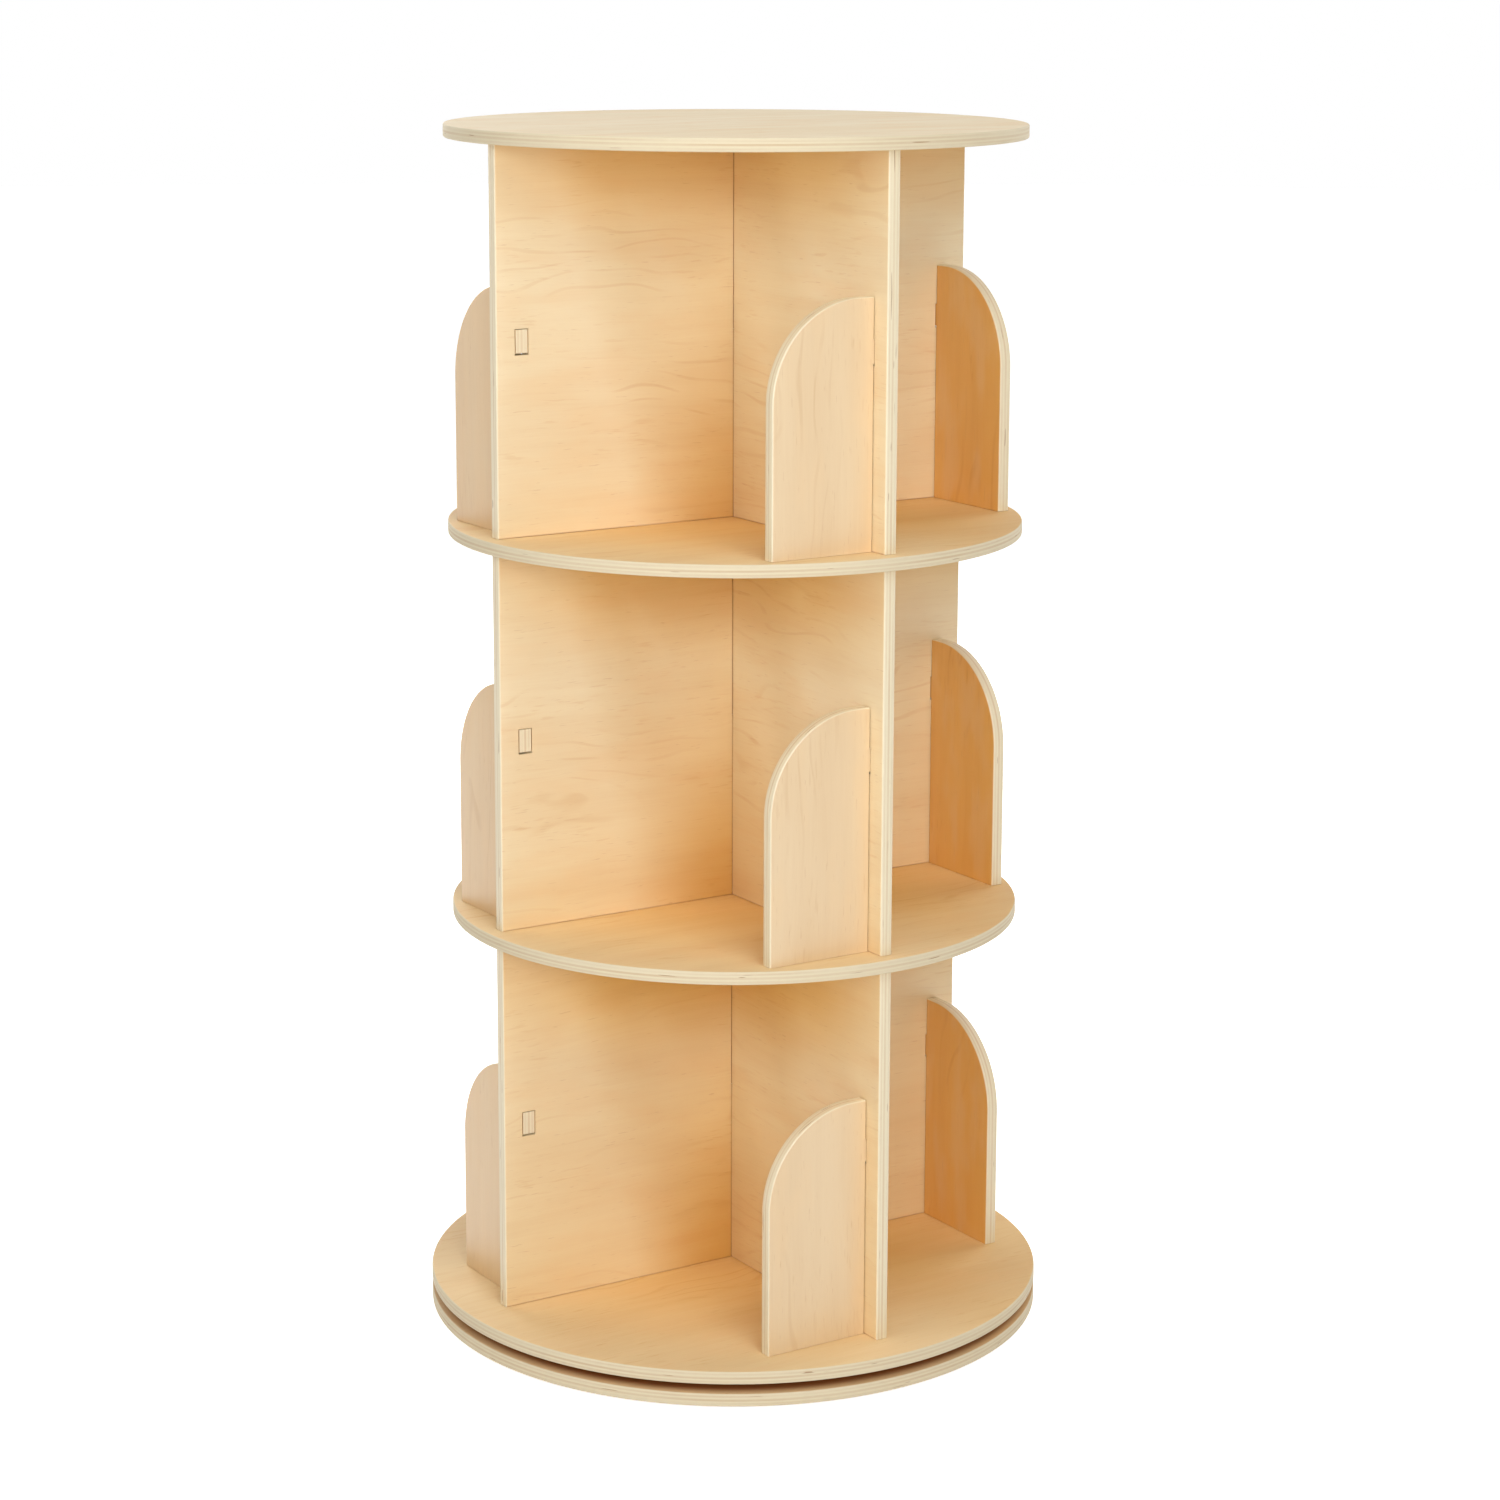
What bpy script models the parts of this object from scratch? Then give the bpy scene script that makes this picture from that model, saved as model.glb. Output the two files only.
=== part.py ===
"""Revolving bookcase: three round tiers on a ball-bearing turntable.

Metres, +Z up. The origin is on the floor, on the axis that the bookcase turns about.
Every board, panel and divider is cut from one thickness of plywood. Two panels cross in
each tier with a half-lap, so that four wings meet at the axis. Each wing carries one
arched divider, whose tenon passes through the wing near its outer end.
"""

import math

import bmesh
import bpy
from mathutils import Euler, Matrix, Vector

# Plywood and fits
SHEET_THICKNESS = 0.0105
ARRIS_RADIUS = 0.0013
SEAT_GAP = 0.0003
WELD_DISTANCE = 0.00003
CUT_OVERRUN = 0.002

# Round boards: the turntable is as wide as the base, and the shelves stand back from it
BASE_DIAMETER = 0.500
SHELF_SETBACK = 0.021

# Tiers, counted from the floor
TIER_NAMES = ("lower", "middle", "upper")
TIER_CLEAR_HEIGHT = 0.301
WING_SETBACK = 0.011

# Dividers: an upright plate with one corner rounded to a quarter circle
DIVIDER_WIDTH = 0.0895
DIVIDER_HEIGHT = 0.192
DIVIDER_ARCH_RADIUS = 0.0765
DIVIDER_INSET = 0.022
MORTISE_HEIGHT = 0.020
TENON_PLAY = 0.0017

# Tabs on the panels' long edges, glued into blind pockets in the boards
TAB_LENGTH = 0.050
TAB_HEIGHT = 0.0055
TAB_INNER_SHARE = 0.32
TAB_OUTER_SHARE = 0.69
POCKET_PLAY = 0.0005

# Ring bearing between the base and the turntable
BEARING_HEIGHT = 0.0075
BEARING_DIAMETER = 0.300
RING_WIDTH = 0.0164
BALL_DIAMETER = 0.004
BALL_COUNT = 16
RACE_CLEARANCE = 0.0003
RING_RUNNING_CLEARANCE = 0.001
CAGE_THICKNESS = 0.0012
CAGE_SIDE_CLEARANCE = 0.0005
CAGE_END_CLEARANCE = 0.0008

# Countersunk screws of the bearing rings
SCREWS_PER_RING = 4
SCREW_LENGTH = 0.013
SCREW_HEAD_DIAMETER = 0.0066
SCREW_SHANK_DIAMETER = 0.0032
SCREW_HEAD_DEPTH = 0.0018
SCREW_TIP_LENGTH = 0.003
PILOT_PLAY = 0.0005
DRIVER_HOLE_DIAMETER = 0.012

# Rubber pads under the base
PAD_COUNT = 6
PAD_DIAMETER = 0.030
PAD_THICKNESS = 0.002
PAD_RIM_DISTANCE = 0.035
PAD_EDGE_RADIUS = 0.0006

# Facets
BOARD_SEGMENTS = 72
RING_SEGMENTS = 64
ARRIS_SEGMENTS = 2
ARCH_SEGMENTS = 9
GROOVE_SEGMENTS = 5
SCREW_SEGMENTS = 10
WINDOW_SEGMENTS = 10
BALL_SUBDIVISION_COUNT = 2
PAD_SEGMENTS = 16
PAD_EDGE_SEGMENTS = 1
DRIVER_HOLE_SEGMENTS = 16
SMOOTH_ANGLE = math.radians(40)
ROUND_PROFILE_SHARE = 0.5

# Heights, from the floor up
BASE_BOTTOM = PAD_THICKNESS + SEAT_GAP
BASE_TOP = BASE_BOTTOM + SHEET_THICKNESS
TURNTABLE_BOTTOM = BASE_TOP + BEARING_HEIGHT
TURNTABLE_TOP = TURNTABLE_BOTTOM + SHEET_THICKNESS
TIER_PITCH = TIER_CLEAR_HEIGHT + SHEET_THICKNESS

# Boards and wings
TURNTABLE_DIAMETER = BASE_DIAMETER
SHELF_DIAMETER = TURNTABLE_DIAMETER - 2 * SHELF_SETBACK
WING_REACH = SHELF_DIAMETER / 2 - WING_SETBACK
PANEL_HEIGHT = TIER_CLEAR_HEIGHT - 2 * SEAT_GAP
SHEET_SLOT_WIDTH = SHEET_THICKNESS + 2 * SEAT_GAP
DIVIDER_PLACE = WING_REACH - DIVIDER_INSET
TAB_INNER_PLACE = WING_REACH * TAB_INNER_SHARE
TAB_OUTER_PLACE = WING_REACH * TAB_OUTER_SHARE
POCKET_DEPTH = TAB_HEIGHT + POCKET_PLAY
WING_SIDES = ("right", "back", "left", "front")
QUARTER_TURN = math.pi / 2

# Bearing, from its outer edge inwards, and up from the base board's top
CAGE_HALF_SPACE = CAGE_THICKNESS / 2 + CAGE_SIDE_CLEARANCE
BEARING_RADIUS = BEARING_DIAMETER / 2
OUTER_RING_WALL = BEARING_RADIUS - RING_WIDTH
BALL_CIRCLE_RADIUS = OUTER_RING_WALL - CAGE_HALF_SPACE
INNER_RING_WALL = BALL_CIRCLE_RADIUS - CAGE_HALF_SPACE
BORE_RADIUS = INNER_RING_WALL - RING_WIDTH
BALL_HEIGHT = BEARING_HEIGHT / 2
GROOVE_RADIUS = BALL_DIAMETER / 2 + RACE_CLEARANCE
OUTER_RING_TOP = BEARING_HEIGHT - RING_RUNNING_CLEARANCE
INNER_RING_BOTTOM = RING_RUNNING_CLEARANCE
OUTER_SCREW_CIRCLE = (OUTER_RING_WALL + BEARING_RADIUS) / 2
INNER_SCREW_CIRCLE = (INNER_RING_WALL + BORE_RADIUS) / 2
SCREW_START = math.radians(45)
POINTING_DOWN = (0, 0, 0)
POINTING_UP = (math.pi, 0, 0)


def tier_floor(tier):
    """Height of the surface that books stand on in a tier."""
    return TURNTABLE_TOP + tier * TIER_PITCH


def clear_scene():
    for obj in list(bpy.data.objects):
        bpy.data.objects.remove(obj, do_unlink=True)


def principled(name, colour, roughness, metallic=0.0):
    """One plain Principled material."""
    material = bpy.data.materials.new(name)
    material.use_nodes = True
    shader = material.node_tree.nodes["Principled BSDF"]
    shader.inputs["Base Color"].default_value = (*colour, 1.0)
    shader.inputs["Roughness"].default_value = roughness
    shader.inputs["Metallic"].default_value = metallic
    material.diffuse_color = (*colour, 1.0)
    return material


def make_materials():
    return {
        "boards": principled("maple_plywood_boards", (0.80, 0.60, 0.38), 0.45),
        "panels": principled("maple_plywood_panels", (0.83, 0.64, 0.42), 0.45),
        "dividers": principled("maple_plywood_dividers", (0.85, 0.68, 0.46), 0.45),
        "rings": principled("bearing_aluminium", (0.78, 0.78, 0.80), 0.35, 1.0),
        "balls": principled("ball_steel", (0.62, 0.62, 0.64), 0.15, 1.0),
        "cage": principled("cage_nylon", (0.85, 0.85, 0.82), 0.5),
        "screws": principled("zinc_screws", (0.70, 0.69, 0.66), 0.3, 1.0),
        "pads": principled("pad_rubber", (0.03, 0.03, 0.03), 0.8),
    }


def mesh_from(name, bm):
    """A closed mesh with its faces outward and its round sides smooth."""
    bmesh.ops.recalc_face_normals(bm, faces=bm.faces)
    mesh = bpy.data.meshes.new(name)
    bm.to_mesh(mesh)
    bm.free()
    mesh.shade_smooth()
    mesh.set_sharp_from_angle(angle=SMOOTH_ANGLE)
    return mesh


def temporary_object(mesh):
    obj = bpy.data.objects.new(mesh.name, mesh)
    bpy.context.scene.collection.objects.link(obj)
    return obj


def cut(mesh, cutter_mesh):
    """The first mesh with the second one cut out of it."""
    body = temporary_object(mesh)
    cutter = temporary_object(cutter_mesh)
    cutter.display_type = "WIRE"
    cutter.hide_render = True
    difference = body.modifiers.new("cut", "BOOLEAN")
    difference.operation = "DIFFERENCE"
    difference.solver = "EXACT"
    difference.object = cutter
    evaluated = body.evaluated_get(bpy.context.evaluated_depsgraph_get())
    result = bpy.data.meshes.new_from_object(evaluated)
    result.name = mesh.name
    for used in (body, cutter):
        bpy.data.objects.remove(used, do_unlink=True)
    return result


def place(name, mesh, material, location, rotation=(0, 0, 0), parent=None):
    """One named sub-part, set down at its place."""
    obj = bpy.data.objects.new(name, mesh)
    bpy.context.scene.collection.objects.link(obj)
    if not mesh.materials:
        mesh.materials.append(material)
    obj.parent = parent
    obj.location = location
    obj.rotation_euler = rotation
    return obj


def on_axis(height):
    return Vector((0, 0, height))


def axis_empty(name):
    """An empty on the vertical axis that carries what turns together."""
    empty = bpy.data.objects.new(name, None)
    bpy.context.scene.collection.objects.link(empty)
    return empty


def circle_places(radius, count, start=0.0, height=0.0):
    """Points spaced evenly round a circle at one height."""
    places = []
    for i in range(count):
        angle = start + math.tau * i / count
        places.append(Vector((radius * math.cos(angle), radius * math.sin(angle), height)))
    return places


def add_cylinder(bm, centre, diameter, low, high, segments):
    """An upright cylinder between two heights; returns its new vertices."""
    middle = Vector((centre.x, centre.y, (low + high) / 2))
    made = bmesh.ops.create_cone(
        bm, cap_ends=True, segments=segments, radius1=diameter / 2, radius2=diameter / 2,
        depth=high - low, matrix=Matrix.Translation(middle))
    return made["verts"]


def add_box(bm, low, high):
    """An upright box between two corners."""
    low, high = Vector(low), Vector(high)
    size = Matrix.Diagonal((*(high - low), 1))
    bmesh.ops.create_cube(bm, size=1, matrix=Matrix.Translation((low + high) / 2) @ size)


def turned(profile, segments, closed):
    """A profile of (radius, height) points turned round the upright axis."""
    bm = bmesh.new()
    verts = [bm.verts.new((radius, 0, height)) for radius, height in profile]
    pairs = list(zip(verts, verts[1:]))
    if closed:
        pairs.append((verts[-1], verts[0]))
    edges = [bm.edges.new(pair) for pair in pairs]
    bmesh.ops.spin(
        bm, geom=verts + edges, cent=(0, 0, 0), axis=(0, 0, 1), angle=math.tau,
        steps=segments, use_merge=True)
    bmesh.ops.remove_doubles(bm, verts=bm.verts, dist=WELD_DISTANCE)
    return bm


def rim_edges(verts):
    """Edges round the two flat ends of an upright cylinder."""
    edges = {edge for vert in verts for edge in vert.link_edges}
    return [edge for edge in edges
            if abs(edge.verts[0].co.z - edge.verts[1].co.z) < SEAT_GAP]


def round_edges(bm, edges, radius, segments=ARRIS_SEGMENTS):
    bmesh.ops.bevel(
        bm, geom=edges, offset=radius, offset_type="OFFSET", segments=segments,
        profile=ROUND_PROFILE_SHARE, affect="EDGES", material=-1)


def board_mesh(name, diameter):
    """A round plywood board with rounded arrises, its underside at height 0."""
    bm = bmesh.new()
    verts = add_cylinder(bm, on_axis(0), diameter, 0, SHEET_THICKNESS, BOARD_SEGMENTS)
    round_edges(bm, rim_edges(verts), ARRIS_RADIUS)
    return mesh_from(name, bm)


def holes_mesh(places, diameter, low, high, segments):
    """Upright round holes as one cutter."""
    bm = bmesh.new()
    for centre in places:
        add_cylinder(bm, centre, diameter, low, high, segments)
    return mesh_from("holes", bm)


def pilot_holes(places, low, high):
    return holes_mesh(places, SCREW_SHANK_DIAMETER + 2 * SEAT_GAP, low, high, SCREW_SEGMENTS)


def outer_screw_places(height=0.0):
    return circle_places(OUTER_SCREW_CIRCLE, SCREWS_PER_RING, SCREW_START, height)


def inner_screw_places(height=0.0):
    return circle_places(INNER_SCREW_CIRCLE, SCREWS_PER_RING, SCREW_START, height)


def pockets_mesh(place_on_x, place_on_y, low, high):
    """Four blind pockets as one cutter, two under each of the crossed panels."""
    bm = bmesh.new()
    half_width = SHEET_SLOT_WIDTH / 2
    half_length = TAB_LENGTH / 2 + SEAT_GAP
    for side in (-1, 1):
        x, y = side * place_on_x, side * place_on_y
        add_box(bm, (x - half_length, -half_width, low), (x + half_length, half_width, high))
        add_box(bm, (-half_width, y - half_length, low), (half_width, y + half_length, high))
    return mesh_from("pockets", bm)


def with_upper_pockets(board):
    """A board cut from above for the lower tabs of the panels that stand on it."""
    floor = SHEET_THICKNESS - POCKET_DEPTH
    ceiling = SHEET_THICKNESS + CUT_OVERRUN
    return cut(board, pockets_mesh(TAB_INNER_PLACE, TAB_OUTER_PLACE, floor, ceiling))


def with_lower_pockets(board):
    """A board cut from below for the upper tabs of the panels that carry it."""
    return cut(board, pockets_mesh(TAB_OUTER_PLACE, TAB_INNER_PLACE, -CUT_OVERRUN, POCKET_DEPTH))


def base_board_mesh():
    """The fixed base, with pilot holes and one hole to drive the inner ring's screws."""
    deepest = SHEET_THICKNESS + OUTER_RING_TOP - SCREW_LENGTH - PILOT_PLAY
    above = SHEET_THICKNESS + CUT_OVERRUN
    board = cut(
        board_mesh("base_board", BASE_DIAMETER),
        pilot_holes(outer_screw_places(), deepest, above))
    driver_hole = holes_mesh(
        inner_screw_places()[:1], DRIVER_HOLE_DIAMETER, -CUT_OVERRUN, above,
        DRIVER_HOLE_SEGMENTS)
    return cut(board, driver_hole)


def turntable_board_mesh():
    """The wide board that turns, with pockets above and pilot holes below."""
    deepest = INNER_RING_BOTTOM - BEARING_HEIGHT + SCREW_LENGTH + PILOT_PLAY
    board = cut(
        board_mesh("turntable_board", TURNTABLE_DIAMETER),
        pilot_holes(inner_screw_places(), -CUT_OVERRUN, deepest))
    return with_upper_pockets(board)


def shelf_mesh():
    return with_lower_pockets(with_upper_pockets(board_mesh("shelf", SHELF_DIAMETER)))


def top_board_mesh():
    return with_lower_pockets(board_mesh("top_board", SHELF_DIAMETER))


def plate_from_outline(outline):
    """A flat plate in the XZ plane, as thick as the sheet and centred on it."""
    bm = bmesh.new()
    near = -SHEET_THICKNESS / 2
    face = bm.faces.new([bm.verts.new((x, near, z)) for x, z in outline])
    made = bmesh.ops.extrude_face_region(bm, geom=[face])
    moved = [item for item in made["geom"] if isinstance(item, bmesh.types.BMVert)]
    bmesh.ops.translate(bm, verts=moved, vec=(0, SHEET_THICKNESS, 0))
    return bm


def face_edges(bm, wanted):
    """Edges lying in either face of a plate whose middle passes a test."""
    chosen = []
    for edge in bm.edges:
        first, second = (vert.co for vert in edge.verts)
        middle = (first + second) / 2
        if first.y * second.y > 0 and wanted(middle.x, middle.z):
            chosen.append(edge)
    return chosen


def tab_outline(centre, edge, tip):
    """Four points of one tab, in the direction in which the outline runs."""
    half = TAB_LENGTH / 2 if edge < 0 else -TAB_LENGTH / 2
    return [(centre - half, edge), (centre - half, tip), (centre + half, tip), (centre + half, edge)]


def panel_outline():
    """A full-width panel with tabs, and with half of the cross-lap open at its top."""
    edge = PANEL_HEIGHT / 2
    tip = TIER_CLEAR_HEIGHT / 2 + TAB_HEIGHT
    half_lap = SHEET_SLOT_WIDTH / 2
    lap_floor = -SEAT_GAP / 2
    return [
        (-WING_REACH, -edge),
        *tab_outline(-TAB_INNER_PLACE, -edge, -tip),
        *tab_outline(TAB_INNER_PLACE, -edge, -tip),
        (WING_REACH, -edge), (WING_REACH, edge),
        *tab_outline(TAB_OUTER_PLACE, edge, tip),
        (half_lap, edge), (half_lap, lap_floor), (-half_lap, lap_floor), (-half_lap, edge),
        *tab_outline(-TAB_OUTER_PLACE, edge, tip),
        (-WING_REACH, edge)]


def mortises_mesh():
    """The two slots through which the dividers' tenons pass."""
    bm = bmesh.new()
    half_width = SHEET_SLOT_WIDTH / 2
    through = SHEET_THICKNESS / 2 + CUT_OVERRUN
    for x in (-DIVIDER_PLACE, DIVIDER_PLACE):
        add_box(
            bm, (x - half_width, -through, -MORTISE_HEIGHT / 2),
            (x + half_width, through, MORTISE_HEIGHT / 2))
    return mesh_from("mortises", bm)


def panel_mesh():
    """The one panel shape that all tiers use, as drawn or turned upside down."""
    bm = plate_from_outline(panel_outline())
    ends = face_edges(bm, lambda x, z: abs(x) > WING_REACH - SEAT_GAP)
    round_edges(bm, ends, ARRIS_RADIUS)
    return cut(mesh_from("panel", bm), mortises_mesh())


def divider_outline():
    """A plate standing out along +X from a wing's face at x = 0, with its tenon at x < 0."""
    foot = SEAT_GAP
    wing_side = SEAT_GAP
    tenon_end = -SHEET_THICKNESS
    tenon_top = (TIER_CLEAR_HEIGHT + MORTISE_HEIGHT) / 2 - SEAT_GAP
    tenon_bottom = (TIER_CLEAR_HEIGHT - MORTISE_HEIGHT) / 2 + TENON_PLAY
    arch_x = DIVIDER_WIDTH - DIVIDER_ARCH_RADIUS
    arch_z = DIVIDER_HEIGHT - DIVIDER_ARCH_RADIUS
    arch = []
    for i in range(ARCH_SEGMENTS + 1):
        angle = QUARTER_TURN * i / ARCH_SEGMENTS
        arch.append((arch_x + DIVIDER_ARCH_RADIUS * math.cos(angle),
                     arch_z + DIVIDER_ARCH_RADIUS * math.sin(angle)))
    return [
        (wing_side, foot), (DIVIDER_WIDTH, foot), *arch, (wing_side, DIVIDER_HEIGHT),
        (wing_side, tenon_top), (tenon_end, tenon_top), (tenon_end, tenon_bottom),
        (wing_side, tenon_bottom)]


def divider_mesh():
    """The arched divider, moved out to where it stands on the right-hand wing."""
    bm = plate_from_outline(divider_outline())
    hidden = SEAT_GAP + ARRIS_RADIUS
    shown = face_edges(bm, lambda x, z: x > hidden and z > hidden)
    round_edges(bm, shown, ARRIS_RADIUS)
    facing = Matrix.Rotation(-QUARTER_TURN, 4, "Z")
    to_wing = Matrix.Translation((DIVIDER_PLACE, -SHEET_THICKNESS / 2, 0))
    bmesh.ops.transform(bm, matrix=to_wing @ facing, verts=bm.verts)
    return mesh_from("divider", bm)


def groove_profile(outward):
    """Points of the ball groove in a ring's wall, from top to bottom."""
    mouth = math.acos(CAGE_HALF_SPACE / GROOVE_RADIUS)
    points = []
    for i in range(GROOVE_SEGMENTS + 1):
        angle = mouth - 2 * mouth * i / GROOVE_SEGMENTS
        radius = BALL_CIRCLE_RADIUS + outward * GROOVE_RADIUS * math.cos(angle)
        points.append((radius, BALL_HEIGHT + GROOVE_RADIUS * math.sin(angle)))
    return points


def screw_profile(growth=0.0, overrun=0.0):
    """A countersunk screw from its head down, grown all round when it is a hole."""
    head = SCREW_HEAD_DIAMETER / 2 + growth
    shank = SCREW_SHANK_DIAMETER / 2 + growth
    shoulder = SCREW_TIP_LENGTH - SCREW_LENGTH - overrun
    flare = [(head, overrun)] if overrun else []
    return [
        (0, overrun), *flare, (head, 0), (shank, -SCREW_HEAD_DEPTH - growth),
        (shank, shoulder), (0, -SCREW_LENGTH - overrun)]


def countersinks_mesh(places, rotation):
    """The holes that a ring's screws sit in, as one cutter."""
    joined = bmesh.new()
    turn = Euler(rotation).to_matrix().to_4x4()
    hole = mesh_from("hole", turned(screw_profile(SEAT_GAP, CUT_OVERRUN), SCREW_SEGMENTS, False))
    for centre in places:
        start = len(joined.verts)
        joined.from_mesh(hole)
        joined.verts.ensure_lookup_table()
        bmesh.ops.transform(
            joined, matrix=Matrix.Translation(centre) @ turn, verts=joined.verts[start:])
    return mesh_from("countersinks", joined)


def outer_ring_mesh():
    """The fixed ring: its ball groove faces the axis, and it clears the turntable."""
    profile = [
        (BEARING_RADIUS, SEAT_GAP), (BEARING_RADIUS, OUTER_RING_TOP),
        (OUTER_RING_WALL, OUTER_RING_TOP), *groove_profile(1), (OUTER_RING_WALL, SEAT_GAP)]
    ring = mesh_from("bearing_outer_ring", turned(profile, RING_SEGMENTS, True))
    return cut(ring, countersinks_mesh(outer_screw_places(OUTER_RING_TOP), POINTING_DOWN))


def inner_ring_mesh():
    """The turning ring: its ball groove faces outward, and it clears the base."""
    top = BEARING_HEIGHT - SEAT_GAP
    profile = [
        (BORE_RADIUS, INNER_RING_BOTTOM), (BORE_RADIUS, top),
        (INNER_RING_WALL, top), *groove_profile(-1), (INNER_RING_WALL, INNER_RING_BOTTOM)]
    ring = mesh_from("bearing_inner_ring", turned(profile, RING_SEGMENTS, True))
    return cut(ring, countersinks_mesh(inner_screw_places(INNER_RING_BOTTOM), POINTING_UP))


def ball_places(height):
    return circle_places(BALL_CIRCLE_RADIUS, BALL_COUNT, 0.0, height)


def cage_mesh():
    """The thin ring that keeps the balls apart, with a round window for each."""
    inner = BALL_CIRCLE_RADIUS - CAGE_THICKNESS / 2
    outer = BALL_CIRCLE_RADIUS + CAGE_THICKNESS / 2
    low = CAGE_END_CLEARANCE
    high = BEARING_HEIGHT - CAGE_END_CLEARANCE
    strip = turned([(inner, low), (outer, low), (outer, high), (inner, high)], RING_SEGMENTS, True)
    windows = bmesh.new()
    for centre in ball_places(BALL_HEIGHT):
        radial = Matrix.Rotation(math.atan2(centre.y, centre.x), 4, "Z")
        lying = Matrix.Rotation(QUARTER_TURN, 4, "Y")
        bmesh.ops.create_cone(
            windows, cap_ends=True, segments=WINDOW_SEGMENTS, radius1=GROOVE_RADIUS,
            radius2=GROOVE_RADIUS, depth=CAGE_THICKNESS + 2 * CUT_OVERRUN,
            matrix=Matrix.Translation(centre) @ radial @ lying)
    return cut(mesh_from("bearing_cage", strip), mesh_from("windows", windows))


def ball_mesh():
    bm = bmesh.new()
    bmesh.ops.create_icosphere(bm, subdivisions=BALL_SUBDIVISION_COUNT, radius=BALL_DIAMETER / 2)
    return mesh_from("ball", bm)


def pad_mesh():
    """A round rubber pad with its lower edge eased."""
    bm = bmesh.new()
    verts = add_cylinder(bm, on_axis(0), PAD_DIAMETER, 0, PAD_THICKNESS, PAD_SEGMENTS)
    lower = [edge for edge in rim_edges(verts) if edge.verts[0].co.z < PAD_THICKNESS / 2]
    round_edges(bm, lower, PAD_EDGE_RADIUS, PAD_EDGE_SEGMENTS)
    return mesh_from("pad", bm)


def build_screws(name, places, rotation, material, parent=None):
    """One ring's screws, each an object of its own."""
    screw = mesh_from("screw", turned(screw_profile(), SCREW_SEGMENTS, False))
    for i, centre in enumerate(places, start=1):
        place(f"{name}_{i}", screw, material, centre, rotation, parent)


def build_base(materials):
    """What stands still: pads, base board and the bearing's outer ring."""
    pad = pad_mesh()
    pad_circle = BASE_DIAMETER / 2 - PAD_RIM_DISTANCE
    for i, centre in enumerate(circle_places(pad_circle, PAD_COUNT), start=1):
        place(f"foot_pad_{i}", pad, materials["pads"], centre)
    place("base_board", base_board_mesh(), materials["boards"], on_axis(BASE_BOTTOM))
    place("bearing_outer_ring", outer_ring_mesh(), materials["rings"], on_axis(BASE_TOP))
    screws_at = outer_screw_places(BASE_TOP + OUTER_RING_TOP)
    build_screws("outer_ring_screw", screws_at, POINTING_DOWN, materials["screws"])


def build_cage(materials):
    """The balls and their cage, which follow the turntable at half its speed."""
    axis = axis_empty("cage_axis")
    place("bearing_cage", cage_mesh(), materials["cage"], on_axis(BASE_TOP), parent=axis)
    ball = ball_mesh()
    for i, centre in enumerate(ball_places(BASE_TOP + BALL_HEIGHT), start=1):
        place(f"bearing_ball_{i}", ball, materials["balls"], centre, parent=axis)


def build_boards(materials, axis):
    """The four boards that turn, from the turntable to the top."""
    wood = materials["boards"]
    shelf = shelf_mesh()
    turntable = turntable_board_mesh()
    top = top_board_mesh()
    place("turntable_board", turntable, wood, on_axis(TURNTABLE_BOTTOM), parent=axis)
    place("lower_shelf", shelf, wood, on_axis(tier_floor(1) - SHEET_THICKNESS), parent=axis)
    place("upper_shelf", shelf, wood, on_axis(tier_floor(2) - SHEET_THICKNESS), parent=axis)
    place("top_board", top, wood, on_axis(tier_floor(3) - SHEET_THICKNESS), parent=axis)


def build_tiers(materials, axis):
    """Crossed panels and their four dividers in each tier."""
    panel = panel_mesh()
    divider = divider_mesh()
    upside_down = (math.pi, 0, QUARTER_TURN)
    for tier, name in enumerate(TIER_NAMES):
        floor = on_axis(tier_floor(tier))
        middle = on_axis(tier_floor(tier) + TIER_CLEAR_HEIGHT / 2)
        wood = materials["panels"]
        place(f"{name}_panel_left_right", panel, wood, middle, parent=axis)
        place(f"{name}_panel_front_back", panel, wood, middle, upside_down, axis)
        for turns, side in enumerate(WING_SIDES):
            turn = (0, 0, turns * QUARTER_TURN)
            place(f"{name}_divider_{side}", divider, materials["dividers"], floor, turn, axis)


def build_carcass(materials):
    """Everything that turns with the books."""
    axis = axis_empty("carcass_axis")
    place("bearing_inner_ring", inner_ring_mesh(), materials["rings"], on_axis(BASE_TOP), parent=axis)
    screws_at = inner_screw_places(BASE_TOP + INNER_RING_BOTTOM)
    build_screws("inner_ring_screw", screws_at, POINTING_UP, materials["screws"], axis)
    build_boards(materials, axis)
    build_tiers(materials, axis)


def main():
    clear_scene()
    materials = make_materials()
    build_base(materials)
    build_cage(materials)
    build_carcass(materials)
    bpy.context.view_layer.update()


main()
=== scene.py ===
"""How the revolving bookcase looks: maple-faced plywood with its plies showing at every edge.

Each wooden piece is modelled lying in its own sheet: x runs along the grain, y across it
and z through the thickness. Those coordinates stay with the piece as an attribute, so
that the veneer and the plies follow it when it is set down in its place.

Lengths are in metres and colours are linear.
"""

import math
from collections import namedtuple

import bmesh
import bpy
from mathutils import Euler, Matrix, Vector


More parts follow.
